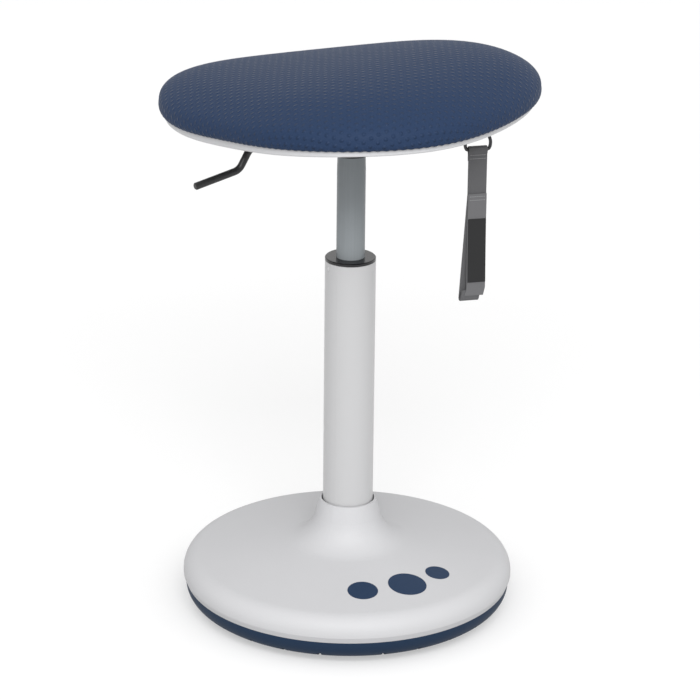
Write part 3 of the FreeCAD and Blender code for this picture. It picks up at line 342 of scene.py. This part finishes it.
MATERIALS = {
    # Base
    "base_sole": NAVY_RUBBER, "base_cover": WHITE_BASE, "base_screws": ZINC,
    "base_weight": CAST_IRON,
    # Column
    "outer_tube": WHITE_TUBE, "guide_bush": BLACK_PLASTIC, "bearing_washer_lower": ZINC,
    "bearing_washer_upper": ZINC, "bearing_ring": BLACK_PLASTIC, "bump_buffer": BLACK_RUBBER,
    "piston_rod": BRIGHT_STEEL, "rod_clip": ZINC, "clip_washer": ZINC, "piston": BLACK_PLASTIC,
    "piston_seal": BLACK_RUBBER, "gas_cylinder": COLUMN_GREY, "rod_guide": BLACK_PLASTIC,
    "valve_body": BLACK_PLASTIC, "release_pin": BRIGHT_STEEL,
    # Mechanism
    "mechanism_plate": BLACK_PAINT, "taper_hub": BLACK_PAINT, "release_lever": BLACK_PAINT,
    "lever_pivot": ZINC,
    # Seat
    "seat_foam": FOAM, "seat_cover": KNIT, "seat_pan": BLACK_PLASTIC, "seat_shell": WHITE_SHELL,
    "seat_bolts": ZINC, "threaded_inserts": ZINC,
    # Strap
    "strap_ring": DARK_WIRE, "strap_anchor": BLACK_PAINT, "anchor_screws": ZINC,
    "strap_webbing": WEBBING, "strap_label": LABEL,
}
for name, node in nodes.items():
    node.data.materials.clear()
    node.data.materials.append(MATERIALS[name])


# Meshes

def circle(count):
    """Evenly spaced azimuths in radians, once round."""
    return np.linspace(0, 2 * math.pi, count, endpoint=False)


def add_mesh(name, points, faces, material, body=None, smooth=True):
    """A new mesh in the scene, which rides on the body where one is named."""
    mesh = bpy.data.meshes.new(name)
    mesh.from_pydata([tuple(p) for p in points], [], faces)
    mesh.validate()
    mesh.update()
    mesh.materials.append(material)
    mesh.polygons.foreach_set("use_smooth", [smooth] * len(mesh.polygons))
    piece = bpy.data.objects.new(name, mesh)
    bpy.context.scene.collection.objects.link(piece)
    if body:
        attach(piece, body)
    return piece


def grid_faces(rows, columns):
    """Faces between rows of points, where each row closes on itself."""
    faces = []
    for row in range(rows - 1):
        for column in range(columns):
            following = (column + 1) % columns
            faces.append((row * columns + column, row * columns + following,
                          (row + 1) * columns + following, (row + 1) * columns + column))
    return faces


def set_cloth_map(piece, coordinates):
    """Gives the piece a map in metres, with one place for each of its points."""
    layer = piece.data.uv_layers.new(name="cloth")
    loops = np.empty(len(piece.data.loops), dtype=np.int32)
    piece.data.loops.foreach_get("vertex_index", loops)
    layer.data.foreach_set("uv", coordinates[loops].astype(np.float32).ravel())


# Cushion

def cushion_rings():
    """Rings of the cushion from its middle outwards, over the dome and round under to the seam."""
    angles = circle(CUSHION_COLUMNS)
    radius = plan_radius(angles)
    pucker = PUCKER_DEPTH * np.cos(SEAM_PUCKERS * angles)
    sections = []
    for share in np.linspace(FIRST_RING, 1.0, DOME_RINGS):
        turn = share * math.pi / 2
        reach = math.sin(turn) ** (2 / DOME_POWER) if share < 1 else 1.0
        rise = DOME_HEIGHT * max(0.0, math.cos(turn)) ** (2 / DOME_POWER)
        sections.append((radius * reach, rise))
    for turn in np.linspace(0, math.pi / 2, SIDE_RINGS)[1:]:
        gather = pucker * math.sin(turn) ** 2
        sections.append((radius - SEAM_INSET * (1 - math.cos(turn)) + gather,
                         -SEAM_DROP * math.sin(turn) - gather))
    sections.append((radius - SEAM_INSET - SEAM_TUCK, -SEAM_DROP + SEAM_TUCK_RISE))
    rings = []
    for reach, rise in sections:
        x, y = reach * np.cos(angles), reach * np.sin(angles)
        rings.append(np.stack([x, y, saddle(x, y) + rise], axis=1))
    return np.array(rings)


def closed_rings(rings):
    """Points and faces of the rings with a middle point above and one below."""
    count = rings.shape[1]
    middle = np.array([[0.0, 0.0, SADDLE["height"] + DOME_HEIGHT]])
    points = np.concatenate([rings.reshape(-1, 3), middle, rings[-1].mean(axis=0, keepdims=True)])
    faces = grid_faces(len(rings), count)
    first_lid = (len(rings) - 1) * count
    for column in range(count):
        following = (column + 1) % count
        faces.append((len(points) - 2, following, column))
        faces.append((len(points) - 1, first_lid + column, first_lid + following))
    return points, [tuple(reversed(face)) for face in faces]


def knit_map(rings, middle):
    """The knit laid flat: each point at its distance over the dome from the middle, turned."""
    whole = np.concatenate([np.repeat(middle[None], rings.shape[1], axis=1), rings])
    reach = np.cumsum(np.linalg.norm(np.diff(whole, axis=0), axis=2), axis=0)
    plan = rings[:, :, :2] / np.linalg.norm(rings[:, :, :2], axis=2, keepdims=True)
    turn = np.array(Matrix.Rotation(math.radians(KNIT_TURN), 2))
    flat = (plan * reach[:, :, None]).reshape(-1, 2) @ turn.T
    return np.concatenate([flat, np.zeros((2, 2))]) + 1.0


def result_mesh(piece):
    """A copy of the piece's mesh as its modifiers leave it."""
    view = bpy.context.evaluated_depsgraph_get()
    return bpy.data.meshes.new_from_object(piece.evaluated_get(view))


def swollen(points, faces):
    """The cloth's surface after it swells from these points, held along its seam and underside."""
    scene = bpy.context.scene
    mesh = bpy.data.meshes.new("pad")
    mesh.from_pydata(points.tolist(), [], faces)
    pad = bpy.data.objects.new("pad", mesh)
    scene.collection.objects.link(pad)
    remesh = pad.modifiers.new("voxels", "REMESH")
    remesh.mode, remesh.voxel_size = "VOXEL", VOXEL
    shape = result_mesh(pad)
    pad.modifiers.clear()
    pad.data = shape
    where = np.empty(len(shape.vertices) * 3)
    shape.vertices.foreach_get("co", where)
    where = where.reshape(-1, 3)
    low = where[:, 2] - saddle(where[:, 0], where[:, 1]) < -HELD_SHARE * SEAM_DROP
    held = pad.vertex_groups.new(name="held")
    held.add([int(i) for i in np.flatnonzero(low)], 1.0, "REPLACE")
    cloth = pad.modifiers.new("cloth", "CLOTH")
    cloth.settings.use_pressure = True
    cloth.settings.uniform_pressure_force = PRESSURE
    cloth.settings.effector_weights.gravity = 0.0
    cloth.settings.vertex_group_mass = held.name
    for step in range(1, SIM_FRAMES + 1):
        scene.frame_set(step)
    result = result_mesh(pad)
    surface = BVHTree.FromPolygons([v.co.copy() for v in result.vertices],
                                   [tuple(p.vertices) for p in result.polygons])
    bpy.data.objects.remove(pad)
    for used in (mesh, shape, result):
        bpy.data.meshes.remove(used)
    scene.frame_set(1)
    return surface


def evened(travel):
    """The points' travel, averaged with that of their neighbours so that the cloth stays taut."""
    for _ in range(EVEN_PASSES):
        around = (np.roll(travel, EVEN_REACH, axis=1) + travel
                  + np.roll(travel, -EVEN_REACH, axis=1)) / 3
        padded = np.concatenate([around[:1], around, around[-1:]])
        travel = (padded[:-2] + padded[1:-1] + padded[2:]) / 3
    return travel


def padded_points(points, faces, rings):
    """The cushion's points after the swelling, which fades out on the side towards the seam."""
    surface = swollen(points, faces)
    travel = np.array([surface.find_nearest(Vector(place))[0] - Vector(place)
                       for place in rings.reshape(-1, 3)])
    length = np.linalg.norm(travel, axis=1, keepdims=True)
    travel *= np.minimum(1.0, SWELL_LIMIT / np.maximum(length, 1e-9))
    travel = evened(travel.reshape(rings.shape))
    weight = np.clip(1 - (np.arange(len(rings)) - DOME_RINGS + 1) / FADE_RINGS, 0.0, 1.0)
    moved = rings + travel * weight[:, None, None]
    middle = np.array([[0.0, 0.0, moved[0, :, 2].mean()]])
    return np.concatenate([moved.reshape(-1, 3), middle, points[-1:]])


def make_cushion():
    """Knit cushion in one piece, in place of the CAD part's foam and cover."""
    rings = cushion_rings()
    points, faces = closed_rings(rings)
    flat = knit_map(rings, middle=points[-2:-1])
    points = padded_points(points, faces, rings)
    cushion = add_mesh("cushion", points, faces, KNIT, "seat")
    set_cloth_map(cushion, flat)
    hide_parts("seat_cover", "seat_foam")


# Strap

def strap_point(x, y, z):
    """A place in the strap's own frame (width along x, front towards y) in the row frame."""
    turned = Matrix.Rotation(math.radians(STRAP_TURN), 4, "Z") @ Vector((x, y, z))
    return turned + Vector((0.0, STRAP_REACH, 0.0))


def rounded_path(corners, radius):
    """Points along the corners (side offset, y, z) with their bends rounded."""
    corners = [np.array(c, dtype=float) for c in corners]
    path = [corners[0]]
    for before, corner, after in zip(corners, corners[1:], corners[2:]):
        back, ahead = before - corner, after - corner
        reach = min(np.linalg.norm(back), np.linalg.norm(ahead)) * BEND_SHARE
        back, ahead = back / np.linalg.norm(back), ahead / np.linalg.norm(ahead)
        half = math.acos(max(-1.0, min(1.0, float(back @ ahead)))) / 2
        reach = min(reach, radius / max(math.tan(half), 1e-6))
        for share in np.linspace(0, 1, BEND_STEPS):
            first = corner + back * reach * (1 - share)
            second = corner + ahead * reach * share
            path.append(first * (1 - share) + second * share)
    path.append(corners[-1])
    return np.array(path)


def make_ribbon(name, path, material):
    """Flat webbing along the path; its map runs across and along the cloth."""
    half, thick = WEBBING_WIDTH / 2, WEBBING_THICKNESS / 2 * WEBBING_FULLNESS
    flank = half - WEBBING_EDGE
    section = [(-half, 0), (-flank, -thick), (0, -thick), (flank, -thick),
               (half, 0), (flank, thick), (0, thick), (-flank, thick)]
    tangents = np.gradient(path[:, 1:], axis=0)
    tangents /= np.linalg.norm(tangents, axis=1, keepdims=True)
    steps = np.linalg.norm(np.diff(path, axis=0), axis=1)
    along = np.concatenate([[0], np.cumsum(steps)])
    points, flat = [], []
    for (shift, y, z), (ty, tz), reach in zip(path, tangents, along):
        for across, out in section:
            points.append(strap_point(shift + across, y + tz * out, z - ty * out))
            flat.append((across + 1.0, reach + 1.0))
    count = len(section)
    faces = grid_faces(len(path), count)
    faces += [tuple(reversed(range(count))), tuple(range(len(points) - count, len(points)))]
    ribbon = add_mesh(name, points, faces, material, "strap", smooth=False)
    set_cloth_map(ribbon, np.array(flat))
    return ribbon


def make_stitches(name, rows):
    """Rows of stitches; each row is given by its two ends in the strap's frame."""
    points, faces = [], []
    for start, end in rows:
        start, end = np.array(start), np.array(end)
        count = max(1, int(np.linalg.norm(end - start) / STITCH_LENGTH))
        line = (end - start) / count
        side = np.cross(line / np.linalg.norm(line), (0.0, 1.0, 0.0))
        for index in range(count):
            middle = start + line * (index + 0.5)
            first = len(points)
            for share, width in STITCH_SECTIONS:
                for angle in circle(STITCH_SIDES) + math.pi / STITCH_SIDES:
                    out = side * math.cos(angle) + np.array((0.0, math.sin(angle), 0.0))
                    points.append(strap_point(*(middle + line * share + out * width)))
            grid = grid_faces(len(STITCH_SECTIONS), STITCH_SIDES)
            faces += [tuple(first + i for i in face) for face in grid]
            faces += [tuple(range(first, first + STITCH_SIDES)),
                      tuple(reversed(range(len(points) - STITCH_SIDES, len(points))))]
    thread = add_mesh(name, points, faces, THREAD, "strap")


def make_strap():
    """Webbing round the ring's bar and folded at its foot, its front layer, and the stitches."""
    half = WEBBING_THICKNESS / 2
    reach = BAR_RADIUS + WEBBING_GAP + half
    lap = half + WEBBING_GAP / 2
    bend = reach - BEND_PLAY
    front = lap + 2 * half + WEBBING_GAP
    fold = lap + 2 * bend + FOLD_PLAY
    foot = WEBBING_FOOT + half
    back_path = [
        (0, -lap, BAR_LEVEL - WEBBING_TAIL),
        (0, -lap, BAR_LEVEL - PINCH),
        (0, -reach, BAR_LEVEL - WRAP_END),
        (0, -reach, BAR_LEVEL + reach),
        (0, reach, BAR_LEVEL + reach),
        (0, reach, BAR_LEVEL - WRAP_END),
        (0, lap, BAR_LEVEL - PINCH),
        (0, lap, WEBBING_TOP),
        (WEBBING_SKEW, lap, foot - FOLD_SAG),
        (WEBBING_SKEW, fold, foot - FOLD_SAG),
        (WEBBING_SKEW * FOLD_SKEW, fold, foot + FOLD_LEG),
    ]
    front_path = [
        (WEBBING_SKEW * FLAP_SKEW, fold + FLAP_LIFT, foot + FLAP_START),
        (FLAP_SHIFT, fold, foot + FLAP_KNEE),
        (0, front, WEBBING_TOP - FLAP_LEAN),
        (0, front, WEBBING_TOP),
    ]
    back = make_ribbon("strap_back", rounded_path(back_path, bend), WEBBING)
    # The front layer uses the lighter copy of the webbing, which is painted light; the back layer
    # keeps the darker one.
    make_ribbon("strap_front", rounded_path(front_path, FLAP_BEND), LIT_WEBBING_PAINTED)
    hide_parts("strap_webbing")
    side = WEBBING_WIDTH / 2 - STITCH_MARGIN
    seams = [(lap + half, level) for level in BAR_SEAM_LEVELS]
    seams += [(front + half, WEBBING_TOP - drop) for drop in TOP_SEAM_DROPS]
    make_stitches("strap_stitches", [((-side, y, z), (side, y, z)) for y, z in seams])


# Base and tube

def deck_height(radius):
    """Height of the deck's cone at this distance from the middle."""
    return DECK_FOOT_HEIGHT - DECK_FALL * (radius - DECK_FOOT_RADIUS)


def make_deck_dot(number, azimuth, reach, radius):
    """A thin printed dot that follows the deck."""
    turn = math.radians(azimuth)
    angles = circle(DECK_DOT_SIDES)
    rings = []
    for share, rise in [(share, PRINT_RISE) for share in DECK_DOT_RINGS] + [(1.0, -PRINT_DEPTH)]:
        x = math.cos(turn) * reach + radius * share * np.cos(angles)
        y = math.sin(turn) * reach + radius * share * np.sin(angles)
        rings.append(np.stack([x, y, deck_height(np.hypot(x, y)) + rise], axis=1))
    points = np.array(rings).reshape(-1, 3)
    faces = grid_faces(len(rings), DECK_DOT_SIDES) + [tuple(reversed(range(DECK_DOT_SIDES)))]
    dot = add_mesh(f"deck_dot_{number}", points, faces, NAVY_PRINT, "base", smooth=False)


def make_tube_nib():
    """Small oval nib of the guide bush that shows through the tube's wall."""
    azimuth = math.radians(NIB_AZIMUTH)
    out = Vector((math.cos(azimuth), math.sin(azimuth), 0.0))
    side = Vector((-out.y, out.x, 0.0))
    up = Vector((0.0, 0.0, NIB_STRETCH))
    centre = out * TUBE_RADIUS + Vector((0.0, 0.0, TUBE_TOP - NIB_DROP))
    points = [centre + (side * math.cos(a) + up * math.sin(a)) * width + out * proud
              for width, proud in NIB_SECTIONS for a in circle(NIB_SIDES)]
    faces = grid_faces(len(NIB_SECTIONS), NIB_SIDES)
    faces += [tuple(reversed(range(NIB_SIDES))),
              tuple(range(len(points) - NIB_SIDES, len(points)))]
    add_mesh("bush_nib", points, faces, WHITE_TUBE, "base")


# Stage, light and camera

def make_floor():
    """Paper that looks white to the camera and in reflections, but throws back less light."""
    shader = Shader("floor_paper", "c4c4c4", rough=0.9)
    shader.tint(shader.noise(scale=2.0), dark=0.985, light=1.0)
    shader.surface.inputs["Emission Color"].default_value = PURE_WHITE
    shader.link(shader.math("MULTIPLY", shader.seen(), FLOOR_GLOW),
                shader.surface.inputs["Emission Strength"])
    corners = [(x * FLOOR_HALF, y * FLOOR_HALF, 0.0)
               for x, y in ((-1, -1), (1, -1), (1, 1), (-1, 1))]
    floor = add_mesh("floor", corners, [(0, 1, 2, 3)], shader.material, smooth=False)


def row_place(right, away, up):
    """A place given from the photograph's side: to the right, away from the camera and up."""
    turned = Matrix.Rotation(math.radians(PHOTO_SIDE), 4, "Z") @ Vector((right, away, up))
    return tuple(turned)


def make_light(name, kind, place, energy, **shape):
    """A light that shines from this place, given from the photograph's side, on the stool."""
    data = bpy.data.lights.new(name, kind)
    data.energy = energy
    for key, value in shape.items():
        setattr(data, key, value)
    light = bpy.data.objects.new(name, data)
    bpy.context.scene.collection.objects.link(light)
    light.location = row_place(*place)
    aim = Vector(row_place(*STOOL_MIDDLE)) - Vector(row_place(*place))
    light.rotation_euler = aim.to_track_quat("-Z", "Y").to_euler()


def make_world():
    """Surroundings that light the stool more from the front, and look plain white themselves."""
    world = bpy.data.worlds.new("studio")
    bpy.context.scene.world = world
    world.use_nodes = True
    tree = NodeTree(world.node_tree)
    background = world.node_tree.nodes["Background"].inputs
    background["Color"].default_value = PURE_WHITE
    facing = tree.add("ShaderNodeVectorMath", operation="DOT_PRODUCT")
    facing.inputs[1].default_value = Vector(row_place(*WORLD_TOWARDS)).normalized()
    tree.link(tree.add("ShaderNodeTexCoord").outputs["Generated"], facing.inputs[0])
    light = tree.span(facing.outputs["Value"], from_min=-1.0, to_min=WORLD_BACK,
                      to_max=WORLD_FRONT)
    strength = tree.add("ShaderNodeMix")
    strength.inputs[3].default_value = 1.0
    tree.link(tree.seen(), strength.inputs[0])
    tree.link(light, strength.inputs[2])
    tree.link(strength.outputs[0], background["Strength"])


def make_camera():
    """The photograph's camera."""
    data = bpy.data.cameras.new("camera")
    data.sensor_width = SENSOR_WIDTH
    data.lens = FOCAL_PIXELS / PICTURE_PIXELS * SENSOR_WIDTH
    data.clip_end = CLIP_END
    camera = bpy.data.objects.new("camera", data)
    bpy.context.scene.collection.objects.link(camera)
    turn = (Matrix.Rotation(math.radians(PHOTO_SIDE), 4, "Z")
            @ Matrix.Rotation(math.radians(CAMERA_TILT), 4, "X")
            @ Matrix.Rotation(math.radians(CAMERA_ROLL), 4, "Z"))
    camera.matrix_world = Matrix.Translation(CAMERA_PLACE) @ turn
    bpy.context.scene.camera = camera


make_cushion()
make_strap()
make_tube_nib()
for number, (azimuth, reach, radius) in enumerate(DECK_DOTS, 1):
    make_deck_dot(number, azimuth, reach, radius)

make_floor()
make_light("key", "SUN", KEY_PLACE, KEY_ENERGY, angle=math.radians(KEY_ANGLE))
make_light("strip", "AREA", STRIP_PLACE, STRIP_ENERGY, shape="RECTANGLE", size=STRIP_SIZE[0],
           size_y=STRIP_SIZE[1])
make_world()
make_camera()
bpy.context.scene.view_settings.view_transform = "Standard"
